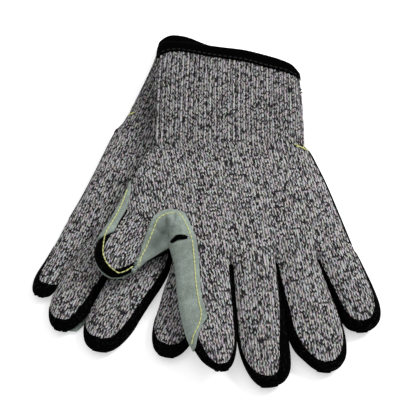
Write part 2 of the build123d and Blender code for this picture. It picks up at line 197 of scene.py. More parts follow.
# How each glove lies: its turn and rise in the frame, how far its digits droop, its crown, the
# width of its cuff's tape from the thumb's side on, the strands of its wrist thread, and its seams
# and edges in plan
LIES = {
    "left": {
        "side": 1,
        "turn": 10.5,
        "rise_x": -0.04,
        "rise_y": 0.02,
        "droop": {"index": 2.5, "middle": 8.0, "ring": 8.0, "little": 11.0},
        "lean": {},
        "crown": 1.6,
        "peek": {},
        "tape": [1.12, 0.85, 0.96, 1.12, 0.95, 0.55],
        "ulnar_dip": 1.5,
        "tack": [
            [(-40.6, 7.6), (-42.8, 8.6), (-46.0, 10.2), (-49.4, 11.9)],
            [(-45.6, 10.6), (-46.8, 8.6), (-47.4, 7.0)],
            [(-41.6, 9.6), (-44.0, 9.4), (-47.6, 11.6)],
        ],
        "wrist": [(48.1, -7.1), (-47.8, 7.9)],
        "cuff_thumb": [(48.1, -7.1), (43.0, -34.0), (37.0, -63.0), (31.2, -86.4)],
        "cuff_little": [(-47.8, 7.9), (-51.6, -14.0), (-55.0, -36.0), (-56.2, -50.6)],
        "mouth": [
            (31.2, -86.4), (26.0, -87.0), (17.3, -84.6), (4.0, -79.8), (-8.2, -75.6),
            (-22.8, -71.0), (-34.5, -65.5), (-45.6, -60.0), (-52.6, -55.2), (-56.2, -50.6),
        ],
        "ball": [(48.1, -7.1), (53.5, -3.4), (59.4, 5.0), (64.7, 14.9), (69.5, 24.3), THUMB_SPLIT],
        "ulnar": [
            (-47.8, 7.9), (-50.2, 12.0), (-52.4, 22.0), (-55.3, 38.0), (-58.6, 64.2),
            (-60.9, 84.0),
        ],
        "index_side": [CROTCH, (48.4, 70.5), (48.0, 79.0)],
        "splits": [(48.0, 79.0), (14.8, 80.5), (-13.0, 81.8), (-38.6, 83.0), (-60.9, 84.0)],
        "webs": [(48.2, 86.0), (15.3, 85.5), (-12.2, 88.5), (-37.4, 90.4), (-62.0, 90.0)],
        "outer": {
            "thumb": THUMB_OUTER,
            "index": [
                (48.2, 86.0), (49.9, 103.6), (50.1, 118.5), (48.6, 133.0), (44.6, 145.4),
                (39.8, 151.4), (34.2, 155.2),
            ],
            "middle": [
                (15.3, 85.5), (17.3, 102.9), (19.3, 122.2), (20.6, 138.8), (19.6, 149.4),
                (16.6, 159.2), (12.4, 164.9), (6.6, 166.4),
            ],
            "ring": [
                (-12.2, 88.5), (-11.7, 102.0), (-11.3, 115.0), (-10.9, 126.9), (-10.0, 136.0),
                (-10.9, 142.6), (-12.9, 148.2), (-16.8, 153.8), (-21.4, 159.4), (-26.7, 162.6),
            ],
            "little": [
                (-37.4, 90.4), (-40.1, 106.2), (-41.9, 116.8), (-43.5, 129.4), (-47.6, 137.2),
                (-55.0, 140.3),
            ],
        },
        "inner": {
            "thumb": THUMB_INNER,
            "index": [
                (15.3, 85.5), (17.5, 103.4), (19.9, 123.4), (21.9, 138.2), (25.0, 147.8),
                (28.8, 153.2), (34.2, 155.2),
            ],
            "middle": [
                (-12.2, 88.5), (-11.5, 107.3), (-10.9, 126.9), (-9.6, 141.4), (-8.3, 152.9),
                (-6.2, 159.6), (-1.4, 164.8), (6.6, 166.4),
            ],
            "ring": [
                (-37.4, 90.4), (-39.9, 108.3), (-42.6, 125.2), (-43.9, 140.0), (-43.0, 150.2),
                (-40.6, 156.6), (-35.0, 161.6), (-26.7, 162.6),
            ],
            "little": [
                (-62.0, 90.0), (-65.4, 103.0), (-68.1, 115.1), (-69.4, 126.7), (-67.3, 134.6),
                (-61.7, 139.3), (-55.0, 140.3),
            ],
        },
        # Width of the coating on a digit's back: thumb's side near the root and near the tip,
        # little finger's side near the root and near the tip, and over the tip
        "dip": {
            "thumb": (6.4, 5.2, 0.3, 0.8, 3.6),
            "index": (0.4, 4.0, 1.7, 0.8, 2.8),
            "middle": (1.6, 0.9, 1.3, 6.2, 5.3),
            "ring": (1.5, 4.6, 0.9, 1.0, 4.9),
            "little": (1.3, 3.4, 1.5, 3.0, 5.8),
        },
    },
    "right": {
        "side": -1,
        "turn": -18.5,
        "rise_x": 0.0,
        "rise_y": 0.0,
        "droop": {},
        "lean": {"index": -4.0, "middle": -4.2, "ring": -4.0, "little": -3.2},
        "crown": 0.0,
        "peek": {"ring": 4.1},
        "tape": [1.0, 1.0, 1.0, 1.0, 0.9, 0.7],
        "ulnar_dip": 0.2,
        "tack": [
            [(-49.8, -4.2), (-48.0, -5.0), (-45.0, -6.2)],
            [(-49.2, -5.6), (-47.6, -4.4), (-46.2, -5.2)],
        ],
        "wrist": [(47.0, -2.0), (-49.8, -5.5)],
        "cuff_thumb": [(47.0, -2.0), (45.6, -25.0), (45.2, -48.0), (45.5, -68.0)],
        "cuff_little": [(-49.8, -5.5), (-49.0, -26.0), (-48.8, -50.0), (-50.2, -70.6)],
        "mouth": [
            (45.5, -68.0), (33.0, -69.5), (20.0, -71.0), (5.0, -72.4), (-10.0, -73.8),
            (-22.8, -75.2), (-31.5, -76.6), (-38.5, -76.4), (-45.4, -74.4), (-50.2, -70.6),
        ],
        "ball": [(47.0, -2.0), (54.0, 5.0), (62.0, 15.5), (68.5, 23.0), THUMB_SPLIT],
        "ulnar": [
            (-49.8, -5.5), (-50.6, 2.0), (-53.0, 10.0), (-53.8, 22.0), (-54.4, 46.6),
            (-55.5, 68.0), (-57.0, 84.0),
        ],
        "index_side": [CROTCH, (48.9, 70.5), (48.8, 79.0)],
        "splits": [(48.8, 79.0), (14.4, 80.6), (-13.2, 81.9), (-37.6, 83.1), (-57.0, 84.0)],
        "webs": [(48.8, 86.0), (13.1, 86.2), (-14.4, 89.5), (-38.8, 91.0), (-57.5, 91.0)],
        "outer": {
            "thumb": THUMB_OUTER,
            "index": [
                (48.8, 86.0), (48.2, 100.0), (46.8, 118.0), (45.8, 134.0), (43.8, 147.0),
                (39.6, 154.8), (33.6, 157.4),
            ],
            "middle": [
                (13.1, 86.2), (15.7, 99.0), (14.9, 111.0), (12.5, 124.0), (10.4, 136.6),
                (8.6, 148.3), (5.0, 158.2), (0.6, 164.0), (-5.4, 166.4),
            ],
            "ring": [
                (-14.4, 89.5), (-16.6, 103.9), (-18.2, 116.8), (-19.5, 129.4), (-20.6, 141.0),
                (-23.6, 151.5), (-28.2, 158.9), (-32.9, 161.1),
            ],
            "little": [
                (-38.8, 91.0), (-41.8, 102.0), (-43.8, 113.7), (-44.9, 124.0), (-45.9, 132.9),
                (-47.9, 139.6), (-53.6, 142.8),
            ],
        },
        "inner": {
            "thumb": THUMB_INNER,
            "index": [
                (13.1, 86.2), (15.9, 98.4), (16.6, 110.0), (17.9, 124.5), (19.4, 138.7),
                (22.0, 148.6), (26.6, 155.4), (33.6, 157.4),
            ],
            "middle": [
                (-14.4, 89.5), (-16.8, 103.9), (-18.3, 117.2), (-19.6, 130.2), (-20.6, 142.6),
                (-19.9, 153.5), (-16.6, 161.6), (-12.0, 165.6), (-5.4, 166.4),
            ],
            "ring": [
                (-38.8, 91.0), (-42.0, 102.0), (-44.1, 113.7), (-45.4, 126.0), (-46.0, 138.7),
                (-44.4, 149.0), (-39.8, 157.8), (-32.9, 161.1),
            ],
            "little": [
                (-57.5, 91.0), (-58.1, 104.0), (-59.4, 117.6), (-60.9, 129.3), (-60.0, 136.9),
                (-57.3, 141.6), (-53.6, 142.8),
            ],
        },
        "dip": {
            "thumb": (6.4, 5.2, 0.3, 0.8, 3.6),
            "index": (1.0, 2.6, -2.2, -0.6, 6.0),
            "middle": (3.4, 4.4, -2.4, -1.6, 6.4),
            "ring": (2.6, 4.4, -2.6, -2.2, 5.2),
            "little": (-2.6, -1.2, -1.4, 2.6, 7.0),
        },
    },
}


def pucker(xy, path, height, width, ends=(0.2, 0.8)):
    """A rounded ridge along a line in plan, sinking to nothing at both of its ends."""
    count = 80
    line = catmull(path, count)
    apart = np.linalg.norm(xy[..., None, :] - line, axis=-1)
    share = np.argmin(apart, axis=-1) / (count - 1)
    level = smooth(share, 0.0, ends[0]) * (1 - smooth(share, ends[1], 1.0))
    return height * level * np.exp(-((apart.min(axis=-1) / width) ** 2))


class Glove:
    """One glove's frame, its outline in plan, and the height of its skin over that plan."""

    def __init__(self, hand):
        self.hand = hand
        lie = self.lie = LIES[hand]
        normal = np.array([-lie["rise_x"], -lie["rise_y"], 1.0])
        normal /= np.linalg.norm(normal)
        turn = math.radians(lie["turn"])
        ahead = np.array([math.sin(turn), -math.cos(turn), 0.0])
        along = ahead - normal * (ahead @ normal)
        along /= np.linalg.norm(along)
        self.axes = np.array([np.cross(along, normal) * lie["side"], along, normal])
        low, high = (np.array(corner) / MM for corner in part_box(hand + "_wrist_tack"))
        tack = np.array([*TACK, MID + HALF + TACK_HALF])
        self.wrist = (low + high) / 2 - tack @ self.axes
        self.outline = self.trace()
        # Half the skin's own width at the wrist, which is where its middle wale lies
        row = np.linspace(*lie["wrist"], 400)
        self.cloth_middle = lengths(stand(row, self.back(row)))[-1] / 2

    def sides(self, name, count, cluster=0.0):
        """Both edges of a digit, which run into each other over its tip, rounded near it
        by taking the middle of the chord that reaches the same length either way."""
        outer, inner = (np.array(self.lie[side][name]) for side in ("outer", "inner"))
        past_outer, past_inner = inner[-2], outer[-2]
        outer = catmull(outer, count, cluster, past_outer)
        inner = catmull(inner, count, cluster, past_inner)
        ring = np.concatenate([outer, inner[-2::-1]])
        run = lengths(ring)
        reach = TIP_CHORD * (1 - smooth(np.abs(run - run[count - 1]), 1.0, TIP_ROUND))
        chord = [
            np.column_stack([np.interp(run + side * reach, run, ring[:, k]) for k in (0, 1)])
            for side in (-0.999, 0.999)
        ]
        ring = sum(chord) / 2
        return ring[:count], ring[count - 1 :][::-1]

    def trace(self):
        """The glove's closed outline in plan, from the cuff's thumb side to its little side."""
        lie = self.lie
        runs = [catmull(lie["cuff_thumb"], 24)[::-1], catmull(lie["ball"], 40)]
        outer, inner = self.sides("thumb", 60)
        runs += [outer, inner[::-1]]
        runs += [catmull(lie["index_side"], 12), np.array(lie["webs"][:1])]
        for name in FINGERS:
            outer, inner = self.sides(name, 70)
            runs += [outer, inner[::-1]]
        runs += [np.array(lie["splits"][-1:]), catmull(lie["ulnar"], 40)[::-1]]
        runs += [catmull(lie["cuff_little"], 24)]
        return np.concatenate(runs)

    def inside(self, xy):
        """Distance from points in plan to the nearest stretch of the outline, up to FAR."""
        flat = xy.reshape(-1, 2)
        a, step = self.outline[:-1], np.diff(self.outline, axis=0)
        size = (step**2).sum(1)
        keep = size > 1e-8
        a, step, size = a[keep], step[keep], size[keep]
        best = np.full(len(flat), FAR**2)
        batch = 700
        for start in range(0, len(flat), batch):
            spots = flat[start : start + batch]
            low, high = spots.min(0) - FAR, spots.max(0) + FAR
            near = ((a > low) & (a < high)).all(1)
            if not near.any():
                continue
            block = spots[:, None, :] - a[None, near]
            share = np.clip((block * step[near]).sum(2) / size[near], 0, 1)[..., None]
            found = ((block - share * step[near]) ** 2).sum(2).min(1)
            best[start : start + batch] = np.minimum(found, FAR**2)
        return np.sqrt(best).reshape(xy.shape[:-1])

    def swell(self, xy):
        """The share of half its thickness that the glove has over a place in plan."""
        return quarter(self.inside(xy))

    def back(self, xy):
        """Height of the back over a place in plan, with a crown and slow waves."""
        rise = self.swell(xy)
        deep = smooth(self.inside(xy), 0.0, CROWN_REACH)
        x, y = xy[..., 0], xy[..., 1]
        waves = np.sin(x / 9.1 + y / 17.0) + 0.8 * np.sin(y / 11.3 - x / 23.0 + 1.3)
        waves = 0.16 * (waves + 0.6 * np.sin((x + y) / 6.7 + 0.4)) * smooth(rise, 0.5, 1.0)
        # The web of the thumb falls away below its seam, which only reaches places near it
        web = np.zeros(x.shape)
        near = (x > 42) & (x < 82) & (y > 44) & (y < 92)
        web[near] = pucker(xy[near], WEB, 4.0, 6.0, (0.15, 0.85))
        return MID + (HALF - web) * rise + self.lie["crown"] * deep + waves

    def palm(self, xy):
        """Height of the palm side over a place in plan."""
        return MID - HALF * self.swell(xy)

    def tilt(self, name):
        """The lean of a digit, in radians."""
        return math.radians(self.lie["lean"].get(name, DIGIT_FOLDS[name][2]))

    def lean(self, name):
        """A digit's fold in plan, and the unit vectors across the digit and along it."""
        sine, cosine = math.sin(self.tilt(name)), math.cos(self.tilt(name))
        return np.array(DIGIT_FOLDS[name][:2]), np.array([cosine, -sine]), np.array([sine, cosine])

    def bend(self, name, points):
        """Turns a digit's points down at its fold, from none BEND before it to the full droop
        BEND past it."""
        droop = math.radians(self.lie["droop"].get(name, 0.0))
        if name is None or droop == 0:
            return points
        fold, across, along = self.lean(name)
        rel = points[..., :2] - fold
        t, s, z = rel @ along, rel @ across, points[..., 2] - MID
        angle = droop * smooth(t, -BEND, BEND)
        t2 = t * np.cos(angle) + z * np.sin(angle)
        z2 = MID + z * np.cos(angle) - t * np.sin(angle)
        plan = fold + t2[..., None] * along + s[..., None] * across
        return stand(plan, z2)

    def world(self, points):
        """Metres in the model's frame."""
        return (self.wrist + points @ self.axes) * MM

    def hinge(self, name, t):
        """A point on a digit's middle line, t past its fold, in metres."""
        fold, _, along = self.lean(name)
        return tuple(self.world(stand(fold + t * along, MID)))


GLOVES = {hand: Glove(hand) for hand in LIES}


# ---------------------------------------------------------------- meshes


def new_mesh(name, vertices, faces, cloth=None, weld=True):
    """A mesh object in metres, with its doubles merged and flat faces removed."""
    mesh = bpy.data.meshes.new(name)
    mesh.from_pydata(vertices.tolist(), [], faces)
    if cloth is not None:
        attribute = mesh.attributes.new("cloth", "FLOAT_VECTOR", "POINT")
        attribute.data.foreach_set("vector", cloth.astype(np.float32).ravel())
    if weld:
        work = bmesh.new()
        work.from_mesh(mesh)
        bmesh.ops.remove_doubles(work, verts=work.verts, dist=2e-6)
        bmesh.ops.dissolve_degenerate(work, edges=work.edges, dist=1e-6)
        work.to_mesh(mesh)
        work.free()
    mesh.validate()
    mesh.shade_smooth()
    piece = bpy.data.objects.new(name, mesh)
    bpy.context.scene.collection.objects.link(piece)
    return piece


def grid_faces(rows, columns, start=0, wrap=False, flip=False):
    """The quads of a grid of vertices, row by row."""
    last = columns if wrap else columns - 1
    i, j = np.meshgrid(np.arange(rows - 1), np.arange(last), indexing="ij")
    a, b, k = i * columns, (i + 1) * columns, (j + 1) % columns
    quads = np.stack([a + j, a + k, b + k, b + j], -1).reshape(-1, 4) + start
    return (quads[:, ::-1] if flip else quads).tolist()


def shell(name, glove, points, inside, cloth, thickness, lift=0.0, digit=None):
    """A thin closed shell on a grid: the grid moved out along its normals by lift, the same moved
    in by the rest of the thickness, and the rims between them. inside is a point of each row that
    the outer face looks away from."""
    points = glove.bend(digit, points)
    inside = glove.bend(digit, inside)
    normal = grid_normals(points)
    if ((points - inside[:, None]) * normal).sum() < 0:
        normal = -normal
    lift = np.broadcast_to(lift, points.shape[:2])[..., None]
    outer, inner = points + normal * lift, points + normal * (lift - thickness)
    rows, columns = points.shape[:2]
    vertices = glove.world(np.concatenate([outer.reshape(-1, 3), inner.reshape(-1, 3)]))
    # Turned so that the outer face's own winding agrees with its normals
    a, b = outer[0:-1, 0:-1], outer[1:, 1:]
    c, d = outer[0:-1, 1:], outer[1:, 0:-1]
    wound = np.cross(b - a, d - c)
    flip = ((wound * normal[:-1, :-1]).sum() < 0) != (glove.lie["side"] == -1)
    count = rows * columns
    faces = grid_faces(rows, columns, 0, flip=flip)
    faces += grid_faces(rows, columns, count, flip=not flip)
    edge = np.concatenate(
        [
            np.arange(columns - 1),
            np.arange(rows - 1) * columns + columns - 1,
            (rows - 1) * columns + np.arange(columns - 1, 0, -1),
            np.arange(rows - 1, 0, -1) * columns,
        ]
    )
    after = np.roll(edge, -1)
    rim = np.stack([after, edge, edge + count, after + count], -1)
    faces += (rim[:, ::-1] if flip else rim).tolist()
    cloth = np.concatenate([cloth.reshape(-1, 3)] * 2)
    return new_mesh(glove.hand + "_" + name, vertices, faces, cloth)


def lay_cloth(glove, points, anchor, rib=0.0, lean=0.0, fold=(0.0, 0.0)):
    """Cloth coordinates of a grid: millimetres across, from the thumb's side, by the length along
    each row from its anchor column; millimetres along, by the place in plan on the cloth's axis;
    and the share of rib in the knit."""
    steps = np.linalg.norm(np.diff(points, axis=1), axis=2)
    reach = np.concatenate([np.zeros((len(points), 1)), np.cumsum(steps, axis=1)], axis=1)
    sine, cosine, fold = math.sin(lean), math.cos(lean), np.array(fold)
    plan = (points[..., :2] - fold) @ np.array([[cosine, sine], [-sine, cosine]]) + fold
    middle = slice(anchor, anchor + 1)
    u = glove.cloth_middle - plan[:, middle, 0] + reach - reach[:, middle]
    return np.stack([u, plan[..., 1], np.broadcast_to(rib, u.shape)], axis=-1)


def dress(piece, glove, slot, digit=None, nodes=()):
    """Gives a piece its slot, that slot's finish, and hides the nodes it stands for. Without a digit
    it rides on the hand; with one its place is only baked into its mesh, and it follows nothing."""
    piece.data.materials.append(finishes()[slot])
    hand = glove.hand + "_hand"
    if digit:
        start, end = glove.hinge(digit, -BLEND_BACK), glove.hinge(digit, BEND)
        glove.hand + "_" + digit
        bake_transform(piece)
    else:
        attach(piece, hand)
    if nodes:
        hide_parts(*[glove.hand + "_" + node for node in nodes])


# ---------------------------------------------------------------- skins


def across(count):
    """Columns from the thumb's side, 1, to the little finger's, -1, crowded at both edges."""
    return np.cos(np.linspace(0, math.pi, count))


class Skin:
    """A skin between two edges in plan: rows pair the edges, columns run from one to the other."""

    def __init__(self, glove, outer, inner, dip_outer, dip_inner, closes=None):
        self.glove = glove
        self.outer, self.inner = outer, inner
        self.middle = (outer + inner) / 2
        self.half = np.linalg.norm(outer - inner, axis=1) / 2
        self.safe = np.maximum(self.half, TINY)
        high, low = 1 - dip_outer / self.safe, -1 + dip_inner / self.safe
        meet = np.clip((high + low) / 2, -1, 1)
        shut = high < low
        self.high, self.low = np.where(shut, meet, high), np.where(shut, meet, low)
        self.rows_open = len(outer) if closes is None else closes

    def plan(self, a):
        """Places in plan at columns a, which is an array of rows by columns."""
        return self.middle[:, None] + a[..., None] * (self.outer - self.middle)[:, None]

    def surface(self, a):
        """The skin at columns a: from -1 to 1 the back, and past either edge the palm side."""
        under = np.abs(a) > 1
        xy = self.plan(np.where(under, np.sign(a) * (2 - np.abs(a)), a))
        return stand(xy, np.where(under, self.glove.palm(xy), self.glove.back(xy)))

    def under(self, a):
        """The palm side at columns a."""
        xy = self.plan(a)
        return stand(xy, self.glove.palm(xy))

    def knit(self, columns):
        """The bare back, from dip line to dip line and a little under the coating."""
        tuck = TUCK * np.minimum(self.half / 6.0, 1) / self.safe
        high, low = self.high + tuck, self.low - tuck
        centre, reach = (high + low) / 2, (high - low) / 2
        a = centre[:, None] + reach[:, None] * across(columns)[None]
        return self.surface(a)[: self.rows_open]

    def coated(self, band, base):
        """The dipped side: a band of the back, the whole underside, and the other band. A band
        whose width is negative leaves that much of the underside to the knit."""
        turn = np.linspace(0, math.pi / 2, band)[None]
        low, high = self.low[:, None], self.high[:, None]
        foot, head = np.minimum(low, -1), np.maximum(high, 1)
        first = low + (foot - low) * np.sin(turn)
        last = head + (high - head) * (1 - np.cos(turn))
        start, stop = -2 - foot, 2 - head
        middle = (start + stop) / 2 - (stop - start) / 2 * across(base)[None]
        return np.concatenate([self.surface(first), self.under(middle), self.surface(last)], axis=1)

    def core(self):
        """The middle line at mid thickness."""
        return stand(self.middle, MID)


def hand_skin(glove):
    """The hand from the wrist seam to a line behind the finger roots. Its thumb's edge follows the
    ball, crosses behind the thumb to the crotch and goes on along the index side."""
    lie = glove.lie
    ball, cross, side = 34, 22, 14
    outer = np.concatenate(
        [
            catmull(lie["ball"], ball)[:-1],
            catmull([THUMB_SPLIT, CROTCH], cross)[:-1],
            catmull(lie["index_side"], side),
        ]
    )
    # The share of the little finger's edge that each of the three runs beside
    shares = np.concatenate(
        [
            np.linspace(0, 0.44, ball)[:-1],
            np.linspace(0.44, 0.8, cross)[:-1],
            np.linspace(0.8, 1, side),
        ]
    )
    edge = np.full(len(outer), 0.5)
    edge[ball - 1 : ball + cross - 2] = 0.0
    dip = lie["ulnar_dip"] * (1.6 - 0.6 * smooth(shares, 0.0, 0.05))
    return Skin(glove, outer, catmull_at(lie["ulnar"], shares), edge, dip)


def digit_skin(glove, name):
    """A digit from behind its web to its tip. The coating's width on the back grows from root to
    tip on each side, and the knit ends in a copy of the tip's outline set back from it."""
    lie = glove.lie
    webs, splits = lie["webs"], lie["splits"]
    if name == "thumb":
        outer, inner = glove.sides(name, 76, CLUSTER)
        start = 0
    else:
        k = FINGERS.index(name)
        lines = [np.linspace(splits[k + side], webs[k + side], 8)[:-1] for side in (0, 1)]
        tips = glove.sides(name, 72, CLUSTER)
        outer, inner = (np.concatenate(pair) for pair in zip(lines, tips))
        start = 7
    run = lengths((outer + inner) / 2)
    left = run[-1] - run
    half = np.linalg.norm(outer - inner, axis=1) / 2
    near_outer, far_outer, near_inner, far_inner, over = lie["dip"][name]
    grown = smooth(run, run[start] + 2, run[-1] - 14)
    rising = smooth(run, run[start] - 1, run[start] + 3)
    # The knit's end is the tip's own outline, set back; the side widths shrink with it
    set_back = np.interp(np.maximum(left - over, 0), left[::-1], half[::-1])
    set_back = np.where(left <= over, 0, set_back)
    round_off = np.minimum(set_back / np.interp(17.0, left[::-1], half[::-1]), 1)
    grown_outer = near_outer + (far_outer - near_outer) * grown
    grown_inner = near_inner + (far_inner - near_inner) * grown
    dip_outer = half - set_back + round_off * rising * grown_outer
    # The little finger carries on the hand's own width along the free edge
    rising = np.ones(len(run)) if name == "little" else rising
    dip_inner = half - set_back + round_off * rising * grown_inner
    shut = np.argmax(half * 2 <= dip_outer + dip_inner + 1e-9)
    skin = Skin(glove, outer, inner, dip_outer, dip_inner, closes=int(shut) + 1)
    skin.sunk = np.zeros(len(run))
    if start:
        skin.sunk = 1 - smooth(run, run[start] - 3.5, run[start] + 1.0)
    return skin


def make_skins(glove):
    """Hand and digits, each as bare knit above and dipped knit below."""
    hand = hand_skin(glove)
    core, knit, coat = hand.core(), hand.knit(110), hand.coated(8, 60)
    # The cuff's ribs run out into plain knit over a wavering line. On the hand they are only painted
    # rib shade in the knit's colour, with no relief
    gone = np.linalg.norm(knit - knit[:1], axis=2)
    gone = gone + 1.5 * np.sin(knit[..., 0] / 5.0) * np.sin(knit[..., 0] / 11.0)
    cloth = lay_cloth(glove, knit, 55, 1 - smooth(gone, 3.0, 17.0))
    piece = shell("hand_back_skin", glove, knit, core, cloth, WALL)
    dress(piece, glove, "knit", nodes=["hand_back"])
    cloth = lay_cloth(glove, coat, 38)
    piece = shell("hand_palm_skin", glove, coat, core, cloth, WALL, COAT_STEP)
    dress(piece, glove, "coating", nodes=["hand_palm"])
    band, base = 12, 30
    middle = band + base / 2 - 0.5
    for name in DIGIT_FOLDS:
        skin = digit_skin(glove, name)
        core, knit, coat = skin.core(), skin.knit(44), skin.coated(band, base)
        axis = 0.0, glove.tilt(name), glove.lean(name)[0]
        cloth = lay_cloth(glove, knit, 22, *axis)
        rows = core[: len(knit)]
        piece = shell(name + "_back_skin", glove, knit, rows, cloth, WALL, digit=name)
        dress(piece, glove, "knit", digit=name, nodes=[name + "_back"])
        cloth = lay_cloth(glove, coat, int(middle + 0.5), *axis)
        # Between the roots the rims of the coating stay below the knit
        rims = np.abs(np.arange(2 * band + base) - middle) > 14
        lift = COAT_STEP - (COAT_STEP + 0.5) * skin.sunk[:, None] * rims
        piece = shell(name + "_palm_skin", glove, coat, core, cloth, WALL, lift, digit=name)
        dress(piece, glove, "coating", digit=name, nodes=[name + "_palm"])


# ---------------------------------------------------------------- cuffs

CUFF_WALL = 1.4

# The binding's profile: how far in from the mouth, and how far out of the knit
BINDING = [
    (8.8, 0.1), (8.7, 0.75), (8.1, 1.05), (6.0, 1.2), (3.0, 1.25), (1.0, 1.15), (-0.1, 0.75),
    (-0.75, 0.05), (-0.85, -0.7), (-0.75, -1.5), (-0.1, -2.2), (1.0, -2.6), (3.0, -2.7),
    (6.0, -2.65), (8.1, -2.5), (8.7, -2.2), (8.8, -1.5),
]


def cuff_grid(glove, rows, columns):
    """The cuff's outer surface: rows from the wrist seam to the mouth, and columns once round it,
    over the back from the thumb's side to the little finger's and back under the palm."""
    lie = glove.lie
    share = np.linspace(0, 1, rows)
    thumb = catmull_at(lie["cuff_thumb"], share)
    little = catmull_at(lie["cuff_little"], share)
    angle = np.linspace(0, 2 * math.pi, columns, endpoint=False)
    place = (1 - np.cos(angle)) / 2
    plan = thumb[:, None] + place[None, :, None] * (little - thumb)[:, None]
    # Rows bow more and more towards the mouth's own curve
    chord = thumb[-1] + place[:, None] * (little[-1] - thumb[-1])
    plan = plan + (share**2)[:, None, None] * (catmull_at(lie["mouth"], place) - chord)[None]
    side = np.where(np.sin(angle) >= 0, 1.0, -1.0)
    crown = lie["crown"] * smooth(glove.inside(plan), 0.0, CROWN_REACH)
    return stand(plan, MID + side * HALF * glove.swell(plan) + np.where(side > 0, crown, 0))


def ring_normals(points):
    """Outward unit normals of a closed tube's grid."""
    along = np.gradient(points, axis=0)
    around = (np.roll(points, -1, axis=1) - np.roll(points, 1, axis=1)) / 2
    normal = unit(np.cross(along, around))
    middle = points.mean(axis=1, keepdims=True)
    return normal if ((points - middle) * normal).sum() > 0 else -normal


def tube(name, glove, rings, cloth):
    """A closed band: rings carried round a profile that comes back to its start."""
    rows, columns = rings.shape[:2]
    i, j = np.meshgrid(np.arange(rows), np.arange(columns), indexing="ij")
    a, b = i * columns, (i + 1) % rows * columns
    k = (j + 1) % columns
    quads = np.stack([a + j, a + k, b + k, b + j], -1).reshape(-1, 4)
    vertices = glove.world(rings.reshape(-1, 3))
    name = glove.hand + "_" + name
    piece = new_mesh(name, vertices, quads.tolist(), cloth.reshape(-1, 3))
    outward(piece)
    return piece


def outward(piece):
    """Turns the faces of a closed mesh outwards."""
    work = bmesh.new()
    work.from_mesh(piece.data)
    bmesh.ops.recalc_face_normals(work, faces=work.faces)
    work.to_mesh(piece.data)
    work.free()


def make_cuff(glove):
    """The rib cuff, whose ribs follow a sine round it and fade in from the wrist seam, and the
    binding: a profile carried round the mouth, which narrows towards the little finger's side."""
    sizes = bpy.context.scene.glove_sizes
    rows, columns = 46, 520
    base = cuff_grid(glove, rows, columns)
    normal = ring_normals(base)
    closed = np.concatenate([base, base[:, :1]], axis=1)
    around = np.cumsum(np.linalg.norm(np.diff(closed, axis=1), axis=2), axis=1)
    around = np.concatenate([np.zeros((rows, 1)), around], axis=1)
    u = around[:, :-1] / around[:, -1:] * 4 * glove.cloth_middle
    wave = np.sin(2 * math.pi * u / sizes.rib_pitch)
    fade = smooth(np.linspace(0, 1, rows), 0.0, 0.1)[:, None]
    lift = (sizes.rib_depth * wave * fade)[..., None]
    outer, inner = base + normal * lift, base - normal * (CUFF_WALL - lift)
    v = base[:1, :, 1] - np.linalg.norm(base - base[:1], axis=2)
    cloth = np.stack([u, v, np.ones_like(u)], -1)
    rings, cloth = (np.concatenate(pair) for pair in ((outer, inner[::-1]), (cloth, cloth[::-1])))
    piece = tube("cuff_rib_knit", glove, rings, cloth)
    dress(piece, glove, "rib_knit", nodes=["cuff_rib"])

    ahead = unit(base[-1] - base[-2])
    place = (1 - np.cos(np.linspace(0, 2 * math.pi, columns, endpoint=False))) / 2
    wide = np.interp(place, [0, 0.15, 0.3, 0.75, 0.93, 1], glove.lie["tape"])
    length = np.linalg.norm(base - base[-1:], axis=2)
    here = np.arange(columns)
    rings, cloth = [], []
    for (back, out), run in zip(BINDING, lengths(BINDING)):
        reach = max(back, 0.0) * wide
        row = [np.interp(reach[j], length[::-1, j], np.arange(rows)[::-1]) for j in here]
        low = np.clip(np.floor(row).astype(int), 0, rows - 2)
        part = (row - low)[:, None]
        spot, away = (
            grid[low, here] * (1 - part) + grid[low + 1, here] * part for grid in (base, normal)
        )
        rings.append(spot + ahead * max(-back, 0.0) + away * out)
        cloth.append(stand(np.column_stack([around[-1, :-1], np.full(columns, run)]), 0.0))
    piece = tube("cuff_binding_band", glove, np.array(rings), np.array(cloth))
    dress(piece, glove, "binding", nodes=["cuff_binding"])


# ---------------------------------------------------------------- leather

SADDLE_FREE = [
    (74.2, 80.6), (68.0, 67.9), (60.9, 55.1), (56.1, 48.3), (50.6, 45.3), (45.1, 45.7),
    (39.8, 47.8), (37.1, 53.6), (35.0, 62.7), (33.8, 69.0),
]
SADDLE_EDGE = [
    (76.2, 81.4), (70.6, 77.0), (65.0, 73.2), (60.0, 70.6), (55.6, 68.5), (52.0, 67.0),
    (50.2, 66.3), (49.5, 66.2), (49.2, 67.2), (48.8, 69.2),
]
STRIP_FREE = [
    (33.7, 68.4), (34.7, 81.6), (36.6, 97.3), (37.6, 110.0), (36.6, 120.0), (40.0, 125.6),
    (43.7, 131.3), (46.4, 138.4),
]
STRIP_EDGE = [
    (48.9, 67.8), (48.1, 81.0), (49.4, 97.0), (50.1, 109.0), (50.1, 119.0), (49.6, 126.4),
    (48.8, 132.4), (46.9, 138.8),
]
BALL_FREE = [(65.9, 16.4), (67.3, 24.9), (72.0, 38.4), (78.0, 47.4), (82.4, 54.6)]
BALL_EDGE = [(66.0, 17.0), (69.4, 24.2), (75.3, 33.2), (82.5, 43.8), (92.2, 56.8)]
SLIT = [(48.2, 65.8), (45.3, 64.9), (42.2, 65.2), (39.0, 66.0)]
CROTCH_WEB = [(72.5, 77.6), (65.0, 72.8), (58.0, 69.4), (52.4, 67.2), (49.0, 68.0)]

# How far each sewn sheet, and the slit in one, stands over the skin besides its own thickness
SADDLE_LIFT, STRIP_LIFT, BALL_LIFT, SLIT_LIFT = 0.25, 0.35, 0.2, 0.45
UNDER = 5.0  # how far the leather runs in below the palm side
HEM = 2.5  # height over mid thickness from which a sheet takes its full relief
FLAP = 0.65  # how far the thumb's leather stands out past its dipped skin


